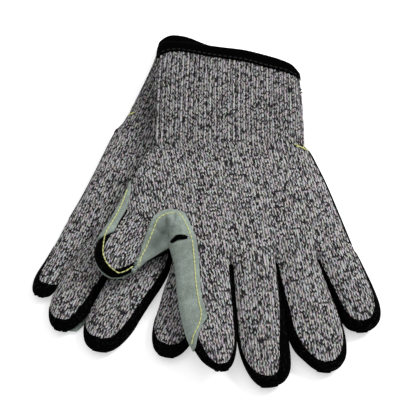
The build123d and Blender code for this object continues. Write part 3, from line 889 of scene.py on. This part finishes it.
def leather_grid(glove, free, edge, rows, columns):
    """A sheet from its free edge on the back, over the glove's edge and UNDER in below the palm
    side. Columns slow down towards the glove's edge, where the skin turns down."""
    share = np.linspace(0, 1, rows)
    spread = np.linspace(0, 1, len(free))
    a, b = (catmull_by(line, spread, share) for line in (free, edge))
    over = np.cos(np.linspace(0, math.pi / 2, columns))
    top = b[:, None] + over[None, :, None] * (a - b)[:, None]
    inward = unit(a - b) * np.minimum(np.linalg.norm(a - b, axis=1), UNDER)[:, None]
    back = 1 - np.cos(np.linspace(0, math.pi / 2, columns // 2))[1:]
    under = b[:, None] + back[None, :, None] * inward[:, None]
    z = np.concatenate([glove.back(top), glove.palm(under)], axis=1)
    return stand(np.concatenate([top, under], axis=1), z), b


def leather(glove, name, grid, inside, lift=0.0, bends=None, blends=None, nodes=()):
    """A sheet of leather on a grid, whose outer face stands its thickness and a lift over it."""
    piece = shell(name, glove, grid, inside, grid, LEATHER, LEATHER + lift, digit=bends)
    dress(piece, glove, "leather", digit=blends or bends, nodes=nodes)


def sew(glove, name, free, edge, size, lift, relief=None, inward=0.0, **ties):
    """A sheet over the glove's edge. Its outer face looks away from a line inside that edge."""
    grid, line = leather_grid(glove, free, edge, *size)
    if relief:
        grid = raised(grid, relief(grid[..., :2]))
    leather(glove, name, grid, stand(line - (inward, 0.0), MID - 3.0), lift, **ties)


def under_patch(skin, start, stop, margin):
    """The part of a skin's underside from start past its root to stop before its tip, a margin in
    from its edges. Its far end is round: the half width follows a circle."""
    run = lengths(skin.middle)
    keep = (run >= start) & (run <= run[-1] - stop)
    widest = skin.half.max()
    short = np.maximum(widest - (run[-1] - stop - run), 0)
    half = np.minimum(skin.half - margin, np.sqrt(np.maximum(widest**2 - short**2, 0)))
    a = (np.maximum(half, 0) / skin.safe)[:, None] * across(34)[None]
    return skin.under(a)[keep], skin.core()[keep]


def saddle_relief(xy):
    """The saddle's two folds, each a step up away from the thumb, and the swollen seam round it."""
    x, y = xy[..., 0], xy[..., 1]
    crease = np.interp(y, [49.5, 53.0, 57.0, 65.0], [48.2, 48.4, 48.5, 48.2])
    tongue = np.interp(y, [47.0, 50.5, 53.6, 57.9, 62.8], [43.1, 43.0, 43.3, 45.9, 47.8])
    steps = 2.0 * (1 - smooth(x, crease - 0.4, crease + 0.4))
    steps = steps + 0.9 * (1 - smooth(x, tongue - 0.4, tongue + 0.3))
    steps = steps * smooth(x, 36.0, 42.5) * smooth(y, 47.5, 52.0) * (1 - smooth(y, 63.5, 67.5))
    return steps + pucker(xy, SADDLE_STITCH, 0.9, 2.2, (0.15, 0.9))


def strip_relief(xy):
    """The strip stands up where it starts over the saddle, and swells once before the tip."""
    y = xy[..., 1]
    return 0.9 * (1 - smooth(y, 68.0, 82.0)) + 0.5 * np.exp(-(((y - 117.0) / 5.0) ** 2))


def raised(grid, lift):
    """Lifts a grid's upper side, all of it above mid thickness."""
    grid = grid.copy()
    grid[..., 2] += lift * smooth(grid[..., 2], MID, MID + HEM)
    return grid


def thumb_flange(skin):
    """The thumb's leather, whose wavy rim stands out FLAP past the dipped skin round its tip. It
    draws in behind the root, and never thins to nothing at its rim."""
    ring = np.concatenate([skin.outer, skin.inner[-2::-1]])
    along = unit(np.gradient(ring, axis=0))
    away = np.stack([-along[:, 1], along[:, 0]], -1)
    away *= np.sign(((ring - skin.middle.mean(0)) * away).sum())
    # Counted in rows from either end of the rim, which is at the thumb's root
    step = np.arange(len(ring))
    wave = FLAP * smooth(step, 20, 40) * (1 - smooth(step[::-1], 20, 40))
    wave = wave * (1 + 0.25 * np.sin(step * 0.55)) - 3.0 * (1 - smooth(step, 14, 30))
    ring = ring + away * wave[:, None]
    count = len(skin.outer)
    outer, inner = ring[:count], ring[count - 1 :][::-1]
    middle = (outer + inner) / 2
    xy = middle[:, None] + across(40)[None, :, None] * (outer - middle)[:, None]
    rim = 1.6
    within = np.linalg.norm(xy - skin.middle[:, None], axis=2) < skin.half[:, None]
    depth = np.where(within, np.maximum(skin.glove.inside(xy), rim), rim)
    # The first rows would lie behind the crotch
    keep = slice(9, count)
    return stand(xy, MID - HALF * quarter(depth))[keep], stand(middle, MID)[keep]


def make_slit(glove):
    """A short slit between the saddle and the strip, shown as painted shade: a near-black sheet over
    the leather.
    """
    count = 24
    line = catmull(SLIT, count)
    half = 1.05 * np.sqrt(np.maximum(1 - np.linspace(-1, 1, count) ** 8, 0.02))
    side = np.stack([np.zeros(9), np.linspace(-1, 1, 9)], -1)
    xy = line[:, None] + side[None] * half[:, None, None]
    slit = raised(stand(xy, glove.back(xy)), saddle_relief(xy))
    inside = stand(line, MID - 3.0)
    piece = shell("strip_slit_shade", glove, slit, inside, slit, 0.5, LEATHER + SLIT_LIFT)
    dress(piece, glove, "coating", digit="index")


def make_web(glove):
    """A near-black sheet below the saddle: partly the dipped skin that shows there as a web between
    thumb and index finger, and partly painted shade under the saddle's edge. It is half an ellipse
    carried along a line, whose width follows the opening between the two."""
    count, height = 40, 3.3
    line = catmull(CROTCH_WEB, count)
    shares, widths = [0, 0.25, 0.55, 0.85, 1], [0.6, 2.0, 3.2, 4.4, 2.6]
    width = np.interp(np.linspace(0, 1, count), shares, widths)
    away = unit(np.gradient(line, axis=0)) @ np.array([[0.0, 1.0], [-1.0, 0.0]])
    away *= np.sign(away[:, 1:])
    turn = np.linspace(0, math.pi, 14)
    xy = line[:, None] + away[:, None] * (width[:, None] * np.sin(turn) - 1.0)[..., None]
    web = stand(xy, height + 2.0 * np.cos(turn))
    # Partly dipped skin, partly painted shade under the saddle
    piece = shell("crotch_web_and_shade", glove, web, stand(line, height), web, 0.6)
    dress(piece, glove, "coating", digit="thumb")


def make_leather(glove):
    """Palm leather, the digits' undersides, the saddle over the crotch, index and ball strips."""
    hand = hand_skin(glove)
    a = ((hand.half - UNDER) / hand.half)[:, None] * across(60)[None]
    leather(glove, "palm_leather", hand.under(a)[2:-2], hand.core()[2:-2], nodes=["palm_patch"])
    for name in DIGIT_FOLDS:
        skin = digit_skin(glove, name)
        grid, core = thumb_flange(skin) if name == "thumb" else under_patch(skin, 14.0, 3.5, 3.2)
        # One sheet shows past its fingertip, on the thumb's side
        peek = glove.lie["peek"].get(name, 0.0)
        grid[..., 0] += peek * smooth(grid[..., 1], 128.0, 146.0)
        leather(glove, name + "_leather", grid, core, bends=name, nodes=[name + "_patch"])

    sew(
        glove, "crotch_saddle", SADDLE_FREE, SADDLE_EDGE, (220, 30), SADDLE_LIFT, saddle_relief,
        blends="thumb", nodes=["crotch_patch"],
    )
    sew(
        glove, "index_side_leather", STRIP_FREE, STRIP_EDGE, (90, 22), STRIP_LIFT, strip_relief,
        inward=6.0, bends="index", nodes=["index_strip"],
    )
    if glove.hand == "left":
        make_slit(glove)
        make_web(glove)
    sew(
        glove, "ball_leather", BALL_FREE, BALL_EDGE, (60, 16), BALL_LIFT, inward=6.0,
        blends="thumb",
    )


# ---------------------------------------------------------------- stitches

SADDLE_STITCH = [
    (73.0, 79.2), (68.6, 72.6), (63.1, 63.6), (58.0, 55.4), (53.6, 50.4), (47.8, 48.5),
    (42.4, 50.0), (39.2, 55.4), (37.3, 62.7), (36.5, 68.4),
]
STRIP_STITCH = [
    (36.4, 69.4), (37.6, 82.8), (39.2, 97.1), (39.9, 110.2), (40.0, 119.6), (42.7, 126.5),
    (46.0, 131.6), (47.4, 136.0),
]
BALL_STITCH = [
    (68.4, 24.0), (72.2, 31.7), (77.3, 40.7), (82.4, 48.2), (87.1, 55.2), (90.1, 64.4),
    (90.8, 70.0), (88.9, 76.8), (84.4, 81.4), (80.6, 81.3), (77.6, 80.0), (75.2, 78.7),
]


def back_normals(glove, xy):
    """Unit normals of the back over places in plan, from its central differences."""
    e = 0.4
    rise = [
        (glove.back(xy + step) - glove.back(xy - step)) / (2 * e)
        for step in (np.array([e, 0]), np.array([0, e]))
    ]
    return unit(np.stack([-rise[0], -rise[1], np.ones_like(rise[0])], -1))


def stitch_row(glove, name, path, lift, relief=None, bends=None, blends=None):
    """Stitches along a line: each a bead from one needle hole to the next, a six-sided tube of six
    rings whose radius and height both follow half a sine along it."""
    sizes = bpy.context.scene.glove_sizes
    dense = catmull(path, 400)
    steps = lengths(dense)
    count = max(int(steps[-1] / sizes.stitch_pitch), 1)
    holes = np.linspace(0, steps[-1], count + 1)
    rings = corners = 6
    share = np.linspace(0.04, 0.96, rings)
    at = holes[:-1, None] + share[None] * (holes[1] - holes[0])
    xy = np.stack([np.interp(at, steps, dense[:, k]) for k in (0, 1)], -1)
    z = glove.back(xy)
    normal = back_normals(glove, xy)
    if relief:
        z = z + relief(xy) * smooth(z, MID, MID + HEM)
    arch = np.sin(math.pi * share)
    centre = stand(xy, z) + normal * (LEATHER + lift + 0.28 * arch)[..., None]
    along = unit(np.gradient(centre, axis=1))
    side = np.cross(along, normal)
    turn = np.linspace(0, 2 * math.pi, corners, endpoint=False)[:, None]
    radius = sizes.thread_radius * (0.55 + 0.45 * arch)
    ring = side[:, :, None] * np.cos(turn) + normal[:, :, None] * np.sin(turn)
    points = glove.bend(bends, centre[:, :, None] + ring * radius[None, :, None, None])
    offset = (np.arange(count) * rings * corners)[:, None]
    base = np.array(grid_faces(rings, corners, wrap=True))
    faces = (base[None] + offset[..., None]).reshape(-1, 4).tolist()
    caps = np.arange(corners)[None]
    faces += (caps[:, ::-1] + offset).tolist() + (caps + (rings - 1) * corners + offset).tolist()
    vertices = glove.world(points.reshape(-1, 3))
    piece = new_mesh(glove.hand + "_" + name, vertices, faces, weld=False)
    outward(piece)
    dress(piece, glove, "thread", digit=blends or bends)


def make_stitches(glove):
    """The seams of the saddle, the index strip, and the ball strip round the thumb's tip."""
    stitch_row(glove, "saddle_stitches", SADDLE_STITCH, SADDLE_LIFT, saddle_relief, blends="thumb")
    stitch_row(glove, "index_stitches", STRIP_STITCH, STRIP_LIFT, strip_relief, bends="index")
    stitch_row(glove, "ball_stitches", BALL_STITCH, BALL_LIFT, blends="thumb")


def make_tack(glove):
    """The thread tack at the wrist seam: loose strands that cross where the cuff meets the hand."""
    count, corners, radius = 40, 8, 0.27
    turn = np.linspace(0, 2 * math.pi, corners, endpoint=False)[:, None]
    vertices, faces = [], []
    for path in glove.lie["tack"]:
        path = catmull(path, count)
        centre = stand(path, glove.back(path) + 0.45)
        along = unit(np.gradient(centre, axis=0))
        side = unit(np.cross(along, np.array([0, 0, 1.0])))
        over = np.cross(side, along)
        ring = side[:, None] * np.cos(turn) + over[:, None] * np.sin(turn)
        start = len(vertices) * count * corners
        last = start + (count - 1) * corners
        faces += grid_faces(count, corners, start, wrap=True)
        faces += [list(range(start, start + corners))[::-1], list(range(last, last + corners))]
        vertices.append((centre[:, None] + radius * ring).reshape(-1, 3))
    vertices = glove.world(np.concatenate(vertices))
    piece = new_mesh(glove.hand + "_wrist_tack_thread", vertices, faces, weld=False)
    outward(piece)
    dress(piece, glove, "thread", nodes=["wrist_tack"])


# ---------------------------------------------------------------- finishes


class Value:
    """A socket in a material. Python's operators on it add Math nodes."""

    def __init__(self, recipe, socket):
        self.recipe, self.socket = recipe, socket

    def maths(self, operation, *others):
        """A Math node that works on this socket and the others."""
        node = self.recipe.nodes.new("ShaderNodeMath")
        node.operation = operation
        for slot, value in zip(node.inputs, (self, *others)):
            self.recipe.join(slot, value)
        return Value(self.recipe, node.outputs[0])

    def __add__(self, other):
        return self.maths("ADD", other)

    def __radd__(self, other):
        return self + other

    def __mul__(self, other):
        return self.maths("MULTIPLY", other)

    def __rmul__(self, other):
        return self * other

    def __sub__(self, other):
        return self.maths("SUBTRACT", other)

    def __rsub__(self, other):
        return self * -1 + other

    def __truediv__(self, other):
        return self.maths("DIVIDE", other)

    def __pow__(self, other):
        return self.maths("POWER", other)

    def floor(self):
        return self.maths("FLOOR")

    def part(self):
        return self.maths("FRACT")

    def size(self):
        return self.maths("ABSOLUTE")

    def sine(self):
        return self.maths("SINE")

    def over(self, other):
        return self.maths("GREATER_THAN", other)


class Recipe:
    """A material built up from nodes."""

    def __init__(self, name, **constants):
        self.material = bpy.data.materials.new(name)
        self.material.use_nodes = True
        self.tree = self.material.node_tree
        self.nodes, self.links = self.tree.nodes, self.tree.links
        self.nodes.clear()
        self.output = self.nodes.new("ShaderNodeOutputMaterial")
        self.surface = self.nodes.new("ShaderNodeBsdfPrincipled")
        self.links.new(self.surface.outputs[0], self.output.inputs[0])
        for socket, value in constants.items():
            self.surface.inputs[socket.replace("_", " ")].default_value = value

    def join(self, slot, value):
        """Links a socket into a slot, or sets the slot to a plain value."""
        if isinstance(value, Value):
            self.links.new(value.socket, slot)
        elif value is not None:
            slot.default_value = value

    def node(self, kind, settings=None, out=0, **inputs):
        """A node of a kind: its settings first, then its sockets by name or, as n0, by number."""
        node = self.nodes.new(kind)
        for key, value in (settings or {}).items():
            if key == "stops":
                ramp = node.color_ramp
                ramp.interpolation = "LINEAR"
                while len(ramp.elements) > 1:
                    ramp.elements.remove(ramp.elements[-1])
                ramp.elements[0].position, ramp.elements[0].color = value[0]
                for place, colour in value[1:]:
                    ramp.elements.new(place).color = colour
            else:
                setattr(node, key, value)
        for key, value in inputs.items():
            numbered = key[:1] == "n" and key[1:].isdigit()
            self.join(node.inputs[int(key[1:]) if numbered else key.replace("_", " ")], value)
        return Value(self, node.outputs[out])

    def mix(self, share, a, b):
        """Colour a where the share is 0, and b where it is 1."""
        kind = {"data_type": "RGBA"}
        return self.node("ShaderNodeMix", kind, out=2, n0=share, n6=a, n7=b)

    def noise(self, place, scale, detail, roughness=0.5):
        """Smooth noise from 0 to 1, mostly near a half."""
        return self.node(
            "ShaderNodeTexNoise", Vector=place, Scale=scale, Detail=detail, Roughness=roughness
        )

    def chance(self, place, out=0):
        """An even value from 0 to 1, or with out 1 a colour, for every place by itself."""
        return self.node(
            "ShaderNodeTexWhiteNoise", {"noise_dimensions": "3D"}, out=out, Vector=place
        )

    def vector(self, x, y, z):
        """Three values as one vector."""
        return self.node("ShaderNodeCombineXYZ", X=x, Y=y, Z=z)

    def finish(self, colour, height, depth, roughness=None):
        """Fills in the surface, with a bump as deep as the given millimetres."""
        self.join(self.surface.inputs["Base Color"], colour)
        self.join(self.surface.inputs["Roughness"], roughness)
        bump = self.node("ShaderNodeBump", Distance=depth * MM, Strength=1.0, Height=height)
        self.join(self.surface.inputs["Normal"], bump)
        return self.material


def tone(colour, factor=1.0):
    """A colour made darker or lighter, with full alpha."""
    return (*[min(c * factor, 1) for c in colour], 1)


def cloth_axes(recipe):
    """The cloth's own three values, one by one and then as one vector."""
    cloth = recipe.node("ShaderNodeAttribute", {"attribute_name": "cloth"}, out=1)
    split = [recipe.node("ShaderNodeSeparateXYZ", out=k, Vector=cloth) for k in (0, 1, 2)]
    return [*split, cloth]


def yarn_stops(colours):
    """How often each shade of marled yarn comes up."""
    dark, light = tone(colours.yarn_dark), tone(colours.yarn_light)
    middle = (*[(a + b) * 0.42 for a, b in zip(dark[:3], light[:3])], 1)
    return list(zip((0.0, 0.27, 0.42, 0.54, 0.66, 1.0), (dark, dark, middle, middle, light, light)))


def knit_finish(name, colours, sizes):
    """Weft knit of marled yarn: columns of V stitches, whose legs climb from the middle of their
    column to its sides, each in its own shade of the yarn, with painted shade in the gaps between
    legs and rows. Where the cloth's third value is 1 the knit is rib, whose ridges are painted
    lighter and the lines between them darker, as shade."""
    recipe = Recipe(name, Roughness=0.95, Specular_IOR_Level=0.12)
    # The odd factors below only set neighbouring legs and rows far apart in the noise
    seed, slant, painted_gap_shade = 0.5, 1.7, (0.003, 0.003, 0.0035, 1)
    u, v, rib, _ = cloth_axes(recipe)
    p = u / sizes.wale
    f = p.part() - 0.5
    q = v / sizes.course + f.size() * slant
    row = q.floor()
    leg = p.floor() * 2 + f.over(0.0)
    shade = recipe.chance(recipe.vector(leg * 1.37, row * 1.91, seed))
    streak = recipe.noise(recipe.vector(leg * 0.83, row * 0.31, seed), 1.0, 1.0)
    ridge = (u * (2 * math.pi / sizes.rib_pitch)).sine() * 0.5 + 0.5
    # Rib ridges are painted a little lighter and the lines between them darker, as shade
    mixed = shade * 0.95 + (streak - 0.5) * 0.4 + 0.03 + (ridge - 0.5) * rib * 0.14
    colour = recipe.node("ShaderNodeValToRGB", {"stops": yarn_stops(colours)}, Fac=mixed)
    tint = recipe.chance(recipe.vector(leg * 2.11, row * 1.13, seed + 4.0), out=1)
    tinted = {"data_type": "RGBA", "blend_type": "MULTIPLY"}
    tinted = recipe.node("ShaderNodeMix", tinted, out=2, n0=1.0, n6=colour, n7=tint)
    colour = recipe.mix(0.22, colour, tinted)
    across_leg = ((p * 2).part() * math.pi).sine()
    across_wale = (p.part() * math.pi).sine()
    along_leg = (q.part() * math.pi).sine()
    height = (across_wale * 0.65 + across_leg * 0.35) * (along_leg * 0.45 + 0.55)
    # Painted shade: near black in the gaps between legs and rows, and deeper between the rib's
    # ridges
    lit = (height * 1.25) ** 1.3 * (1 - rib * (1 - ridge) * 0.32)
    return recipe.finish(recipe.mix(lit, painted_gap_shade, colour), height, 0.5)


def leather_finish(colours):
    """Split leather: a short nap whose shade clouds slowly, with fine fibre, and painted shade over
    the saddle's hollow.
    """
    recipe = Recipe(
        "split_leather", Roughness=0.95, Specular_IOR_Level=0.1, Sheen_Weight=0.12,
        Sheen_Roughness=0.6,
    )
    x, y, z, place = cloth_axes(recipe)
    cloud = recipe.noise(place, 0.14, 4.0, 0.65)
    fibre = recipe.noise(place, 0.9, 4.0, 0.75)
    # Painted shade darkens the saddle's hollow between the crotch and its seam, on its upper side
    # only, in an oval with a soft edge: 11 mm from its middle along the seam and 5.8 mm over it
    x, y = x - 57.5, y - 63.5
    along, over = (x * 0.56 + y * 0.83) / 11.0, (x * 0.83 - y * 0.56) / 5.8
    painted_hollow_shade = ((along * along + over * over) * -1).maths("EXPONENT") * z.over(MID)
    base = colours.leather
    worn = (cloud - 0.5) * 1.8 + (fibre - 0.5) * 1.5 + 0.5
    colour = recipe.mix(worn, tone(base, 0.55), tone(base, 1.22))
    # The painted shade takes the leather down to 0.3 of its own colour
    colour = recipe.mix(painted_hollow_shade * 0.95, colour, tone(base, 0.3))
    return recipe.finish(colour, fibre * 0.7 + cloud * 0.3, 0.35)


def coating_finish(colours):
    """Dipped foam coating: near black and matt, with a sandy grain and a few glinting specks."""
    recipe = Recipe("dipped_coating", Roughness=0.72, Specular_IOR_Level=0.012)
    *_, place = cloth_axes(recipe)
    grain = recipe.noise(place, 1.9, 3.0, 0.65)
    cell = (0.45, 0.45, 0.45)
    cells = recipe.node("ShaderNodeVectorMath", {"operation": "SNAP"}, n0=place, n1=cell)
    speck = recipe.chance(cells).over(0.965)
    colour = recipe.mix(speck * 0.5, tone(colours.coating), (0.03, 0.03, 0.028, 1))
    return recipe.finish(colour, grain, 0.35, 0.62 + grain * 0.25)


def binding_finish(colours):
    """Woven tape: fine crossing ribs, near black, with a row of pale needle marks."""
    recipe = Recipe("cuff_tape", Roughness=0.85, Specular_IOR_Level=0.012)
    u, v, *_ = cloth_axes(recipe)
    warp = (u * (2 * math.pi / 0.9)).sine()
    weft = (v * (2 * math.pi / 0.7)).sine()
    weave = warp * weft * 0.5 + 0.5
    dash = (u / 3.4).part().over(0.45) * ((v - 2.2).size() * -1).over(-0.35)
    base = colours.binding
    colour = recipe.mix(weave, tone(base, 0.5), tone(base, 1.6))
    colour = recipe.mix(dash * 0.06, colour, (0.4, 0.4, 0.4, 1))
    return recipe.finish(colour, weave, 0.2)


def thread_finish(colours):
    """Sewing thread: a slight sheen, and a twist too fine to tell apart."""
    recipe = Recipe("seam_thread", Roughness=0.6, Specular_IOR_Level=0.4, Sheen_Weight=0.2)
    twist = recipe.noise(recipe.node("ShaderNodeTexCoord", out=3), 1400.0, 2.0)
    base = colours.thread
    return recipe.finish(recipe.mix(twist, tone(base, 0.7), tone(base, 1.15)), twist, 0.08)


FINISHES = {}


def finishes():
    """The finish of every slot, made once."""
    if not FINISHES:
        colours, sizes = bpy.context.scene.glove_colours, bpy.context.scene.glove_sizes
        FINISHES["knit"] = knit_finish("marled_knit", colours, sizes)
        FINISHES["rib_knit"] = knit_finish("marled_rib", colours, sizes)
        FINISHES["leather"] = leather_finish(colours)
        FINISHES["coating"] = coating_finish(colours)
        FINISHES["binding"] = binding_finish(colours)
        FINISHES["thread"] = thread_finish(colours)
    return FINISHES


# ---------------------------------------------------------------- stage

FLOOR = 3.0  # half the floor's width, in metres
FLOOR_DROP = 0.0002
LIGHTS = (  # name, place and width in metres, power in watts
    ("window_light", (0.95, 0.5, 1.0), 0.6, 17.0),
    ("fill_light", (-0.2, -0.2, 1.5), 1.2, 4.0),
)
ELEVATION = math.radians(56.0)  # of the camera over the floor
DISTANCE = 1000.0
LENS = 136.2
# The camera looks at a point this far from the left glove's wrist, and a little above it in view
AIM, AIM_UP = np.array([-12.32, -42.0, -6.8]), 2.2


def make_floor():
    """A plain white floor that keeps the shadows, and glows enough to look white."""
    mesh = bpy.data.meshes.new("floor")
    corners = [(-FLOOR, -FLOOR), (FLOOR, -FLOOR), (FLOOR, FLOOR), (-FLOOR, FLOOR)]
    mesh.from_pydata([(x, y, -FLOOR_DROP) for x, y in corners], [], [(0, 1, 2, 3)])
    floor = bpy.data.objects.new("floor", mesh)
    bpy.context.scene.collection.objects.link(floor)
    recipe = Recipe("white_floor", Roughness=0.9, Specular_IOR_Level=0.0)
    recipe.surface.inputs["Base Color"].default_value = tone((0.93, 0.93, 0.93))
    rays = recipe.nodes.new("ShaderNodeLightPath")
    camera, glossy = (rays.outputs[f"Is {kind} Ray"] for kind in ("Camera", "Glossy"))
    seen = Value(recipe, camera) + Value(recipe, glossy)
    glow = recipe.nodes.new("ShaderNodeEmission")
    recipe.join(glow.inputs["Strength"], seen * 0.45)
    both = recipe.nodes.new("ShaderNodeAddShader")
    recipe.links.new(recipe.surface.outputs[0], both.inputs[0])
    recipe.links.new(glow.outputs[0], both.inputs[1])
    recipe.links.new(both.outputs[0], recipe.output.inputs[0])
    mesh.materials.append(recipe.material)


def make_world():
    """White to the camera, and a softer white as a light from all round."""
    world = bpy.data.worlds.new("room")
    bpy.context.scene.world = world
    world.use_nodes = True
    nodes, links = world.node_tree.nodes, world.node_tree.links
    nodes.clear()
    out = nodes.new("ShaderNodeOutputWorld")
    mix = nodes.new("ShaderNodeMixShader")
    rays = nodes.new("ShaderNodeLightPath")
    links.new(rays.outputs["Is Camera Ray"], mix.inputs[0])
    for slot, strength in ((1, 0.55), (2, 1.0)):
        white = nodes.new("ShaderNodeBackground")
        white.inputs[0].default_value = (1, 1, 1, 1)
        white.inputs[1].default_value = strength
        links.new(white.outputs[0], mix.inputs[slot])
    links.new(mix.outputs[0], out.inputs[0])


def make_lights():
    """Square lamps that face the middle of the floor."""
    for name, place, width, power in LIGHTS:
        lamp = bpy.data.lights.new(name, "AREA")
        lamp.size, lamp.energy = width, power
        light = bpy.data.objects.new(name, lamp)
        light.location = place
        x, y, z = -np.array(place)
        yaw = math.atan2(y, x) - math.pi / 2
        light.rotation_euler = (math.atan2(math.hypot(x, y), -z), 0, yaw)
        bpy.context.scene.collection.objects.link(light)


def make_camera():
    """The camera, which looks down on the gloves from the side of their fingertips."""
    scene = bpy.context.scene
    sine, cosine = math.sin(ELEVATION), math.cos(ELEVATION)
    target = GLOVES["left"].wrist + AIM + np.array([0, sine, cosine]) * AIM_UP
    data = bpy.data.cameras.new("camera")
    data.sensor_width, data.lens = 36.0, LENS
    data.clip_start, data.clip_end = 0.01, 20.0
    camera = bpy.data.objects.new("camera", data)
    camera.location = (target + np.array([0, -cosine, sine]) * DISTANCE) * MM
    camera.rotation_euler = (math.pi / 2 - ELEVATION, 0, 0)
    scene.collection.objects.link(camera)
    scene.camera = camera
    scene.view_settings.view_transform = "Standard"


# ---------------------------------------------------------------- add-on


def size(name, description, default):
    """A length that the panel offers, in millimetres."""
    description += ", in mm"
    return bpy.props.FloatProperty(name=name, description=description, default=default)


def shade(name, description, default):
    """A colour that the panel offers."""
    return bpy.props.FloatVectorProperty(
        name=name, description=description, default=default, subtype="COLOR"
    )


class GloveSizes(bpy.types.PropertyGroup):
    wale: size("Wale", "Width of one column of knit stitches", 1.7)
    course: size("Course", "Height of one row of knit stitches", 1.3)
    rib_pitch: size("Rib pitch", "From one cuff rib to the next", 3.1)
    rib_depth: size("Rib depth", "How far a cuff rib stands out", 0.32)
    stitch_pitch: size("Stitch", "From one needle hole to the next", 2.7)
    thread_radius: size("Thread", "Radius of the seam thread", 0.37)


class GloveColours(bpy.types.PropertyGroup):
    yarn_light: shade("Light yarn", "Light strand of the marled yarn", (0.665, 0.643, 0.648))
    yarn_dark: shade("Dark yarn", "Dark strand of the marled yarn", (0.026, 0.025, 0.027))
    leather: shade("Leather", "Split leather", (0.268, 0.322, 0.286))
    coating: shade("Coating", "Dipped coating", (0.0006, 0.0006, 0.0006))
    binding: shade("Binding", "Tape on the cuff's edge", (0.0007, 0.0007, 0.0008))
    thread: shade("Thread", "Seam thread", (0.64, 0.66, 0.24))


class GLOVES_OT_stage(bpy.types.Operator):
    """Makes the floor, the light and the camera"""

    bl_idname = "gloves.stage"
    bl_label = "Stage"

    def execute(self, context):
        for make in (make_floor, make_world, make_lights, make_camera):
            make()
        return {"FINISHED"}


class GLOVES_OT_skins(bpy.types.Operator):
    """Makes the knit and dipped skins of both hands and all digits"""

    bl_idname = "gloves.skins"
    bl_label = "Skins"

    def execute(self, context):
        for glove in GLOVES.values():
            make_skins(glove)
        return {"FINISHED"}


class GLOVES_OT_cuffs(bpy.types.Operator):
    """Makes the rib cuffs, their bound edges and the thread tacks"""

    bl_idname = "gloves.cuffs"
    bl_label = "Cuffs"

    def execute(self, context):
        for glove in GLOVES.values():
            make_cuff(glove)
            make_tack(glove)
        return {"FINISHED"}


class GLOVES_OT_leather(bpy.types.Operator):
    """Makes the sewn leather"""

    bl_idname = "gloves.leather"
    bl_label = "Leather"

    def execute(self, context):
        for glove in GLOVES.values():
            make_leather(glove)
        return {"FINISHED"}


class GLOVES_OT_stitches(bpy.types.Operator):
    """Makes the seam stitches"""

    bl_idname = "gloves.stitches"
    bl_label = "Stitches"

    def execute(self, context):
        for glove in GLOVES.values():
            make_stitches(glove)
        return {"FINISHED"}


class GLOVES_PT_panel(bpy.types.Panel):
    """Sizes, colours and makers of the gloves"""

    bl_label = "Work gloves"
    bl_idname = "GLOVES_PT_panel"
    bl_space_type = "VIEW_3D"
    bl_region_type = "UI"
    bl_category = "Gloves"

    def draw(self, context):
        for group in (context.scene.glove_sizes, context.scene.glove_colours):
            for key in group.bl_rna.properties.keys():
                if key not in ("rna_type", "name"):
                    self.layout.prop(group, key)
        for maker in MAKERS:
            self.layout.operator(maker.bl_idname)


MAKERS = (GLOVES_OT_stage, GLOVES_OT_skins, GLOVES_OT_cuffs, GLOVES_OT_leather, GLOVES_OT_stitches)
CLASSES = (GloveSizes, GloveColours, *MAKERS, GLOVES_PT_panel)


def register():
    for cls in CLASSES:
        bpy.utils.register_class(cls)
    bpy.types.Scene.glove_sizes = bpy.props.PointerProperty(type=GloveSizes)
    bpy.types.Scene.glove_colours = bpy.props.PointerProperty(type=GloveColours)


def unregister():
    del bpy.types.Scene.glove_sizes, bpy.types.Scene.glove_colours
    for cls in reversed(CLASSES):
        bpy.utils.unregister_class(cls)


def main():
    """Makes everything."""
    register()
    for step in ("stage", "skins", "cuffs", "leather", "stitches"):
        getattr(bpy.ops.gloves, step)()
    bpy.context.view_layer.update()


if __name__ == "__main__":
    main()
